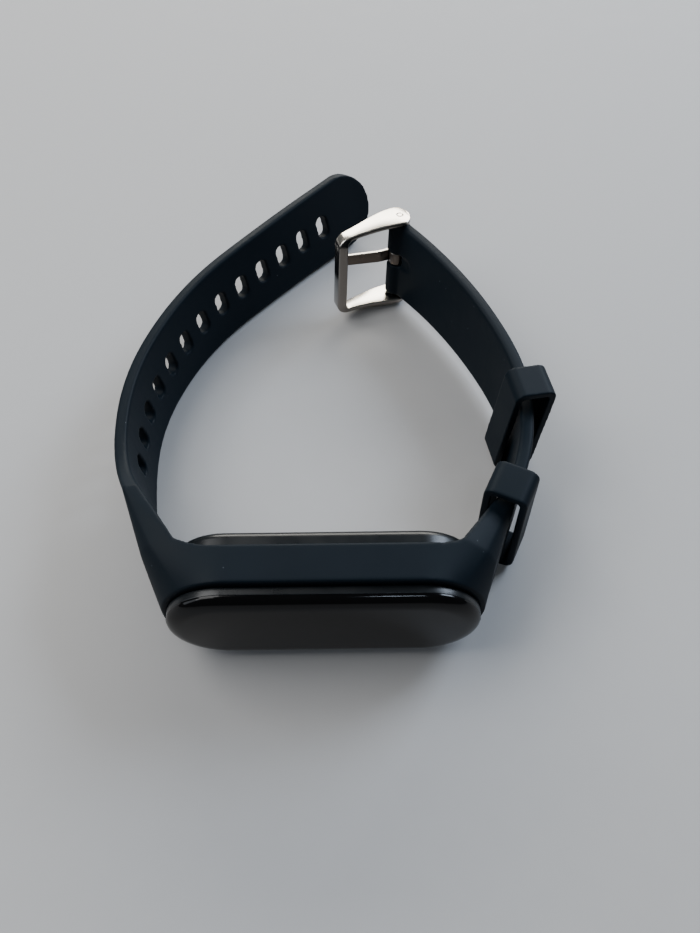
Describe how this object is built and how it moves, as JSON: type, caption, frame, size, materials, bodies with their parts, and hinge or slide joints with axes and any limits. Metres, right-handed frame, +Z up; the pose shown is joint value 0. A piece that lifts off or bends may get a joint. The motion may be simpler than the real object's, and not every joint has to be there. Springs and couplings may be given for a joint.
{
  "type": "fitness tracker band",
  "caption": "Pill-shaped fitness tracker core held in a dark silicone wrist strap with a pin buckle, two keepers and oval adjustment holes.",
  "frame": {"origin": "middle of the bottom of the whole part's box, on the surface the band lies on", "axes": "+Z up from that surface, along the width of the strap; the display looks along -Y; +X along the core, towards the arm with the buckle"},
  "size_m": [0.0718, 0.0977, 0.0207],
  "materials": {
    "silicone": "matte moulded silicone, very dark navy",
    "steel": "satin polished stainless steel",
    "cover_gloss": "gloss black",
    "adhesive": "thin bond line",
    "shell_plastic": "semi-gloss black polycarbonate",
    "display": "dark when off",
    "inner_plastic": "moulded black plastic",
    "flex_film": "amber polyimide film",
    "circuit_board": "green solder mask",
    "chip_plastic": "moulded package",
    "tinned_steel": "tinned sheet",
    "cell_foil": "pouch foil",
    "copper": "bare copper",
    "tungsten": "sintered weight",
    "led_epoxy": "clear package",
    "window_clear": "tinted clear window",
    "gold": "gold plated pads"
  },
  "bodies": {
    "holder": {"strap_holder": "silicone"},
    "core": {"display_cover": "cover_gloss", "cover_adhesive": "adhesive", "capsule_shell": "shell_plastic", "display_panel": "display", "mid_frame": "inner_plastic", "display_flex": "flex_film", "main_board": "circuit_board", "processor_chip": "chip_plastic", "radio_shield_can": "tinned_steel", "board_components": "chip_plastic", "battery": "cell_foil", "battery_protection_board": "circuit_board", "battery_leads": "copper", "motor_case": "tinned_steel", "sensor_board": "circuit_board", "green_leds": "led_epoxy", "photodiode": "led_epoxy", "sensor_baffle": "inner_plastic", "sensor_window": "window_clear", "charging_contacts": "gold", "antenna": "copper"},
    "motor_rotor": {"motor_rotor": "tungsten"},
    "long_arm": {"long_arm": "silicone"},
    "short_arm": {"short_arm": "silicone", "spring_bar_tube": "steel", "spring_bar_spring": "steel"},
    "keeper_near": {"keeper_near": "silicone"},
    "keeper_far": {"keeper_far": "silicone"},
    "buckle": {"buckle_frame": "steel"},
    "tongue": {"buckle_tongue": "steel"},
    "tip_upper": {"spring_bar_tip_upper": "steel"},
    "tip_lower": {"spring_bar_tip_lower": "steel"}
  },
  "joints": [
    {"name": "core_release", "type": "slide", "parent": "holder", "child": "core", "axis": [0, -1, 0], "range_m": [0, 0.016]},
    {"name": "motor_spin", "type": "hinge", "parent": "core", "child": "motor_rotor", "pos_m": [0.01244, -0.04246, 0.01025], "axis": [0, 1, 0], "continuous": true},
    {"name": "long_arm_flex", "type": "hinge", "parent": "holder", "child": "long_arm", "pos_m": [-0.02966, -0.03319, 0.01025], "axis": [0, 0, 1], "range_deg": [-1, 25], "stiffness_Nm_per_rad": 0.03},
    {"name": "short_arm_flex", "type": "hinge", "parent": "holder", "child": "short_arm", "pos_m": [0.02426, -0.03489, 0.01025], "axis": [0, 0, -1], "range_deg": [0, 20], "stiffness_Nm_per_rad": 0.03},
    {"name": "keeper_near_slide", "type": "slide", "parent": "short_arm", "child": "keeper_near", "axis": [0.4298, 0.9029, 0], "range_m": [0, 0.004]},
    {"name": "keeper_far_slide", "type": "hinge", "parent": "short_arm", "child": "keeper_far", "pos_m": [-0.00629, -0.01297, 0.01025], "axis": [0, 0, 1], "range_deg": [-7, 7]},
    {"name": "buckle_swing", "type": "hinge", "parent": "short_arm", "child": "buckle", "pos_m": [0.01169, 0.02701, 0.00052], "axis": [-0.0349, -0.1934, -0.9805], "range_deg": [-25, 70]},
    {"name": "tongue_swing", "type": "hinge", "parent": "buckle", "child": "tongue", "pos_m": [0.01169, 0.02701, 0.00052], "axis": [-0.0349, -0.1934, -0.9805], "range_deg": [0, 80]},
    {"name": "tip_lower_press", "type": "slide", "parent": "short_arm", "child": "tip_lower", "axis": [0.0349, 0.1934, 0.9805], "range_m": [0, 0.0012], "stiffness_N_per_m": 60, "springref_m": -0.001},
    {"name": "tip_upper_press", "type": "slide", "parent": "short_arm", "child": "tip_upper", "axis": [-0.0349, -0.1934, -0.9805], "range_m": [0, 0.0012], "stiffness_N_per_m": 60, "springref_m": -0.001}
  ]
}
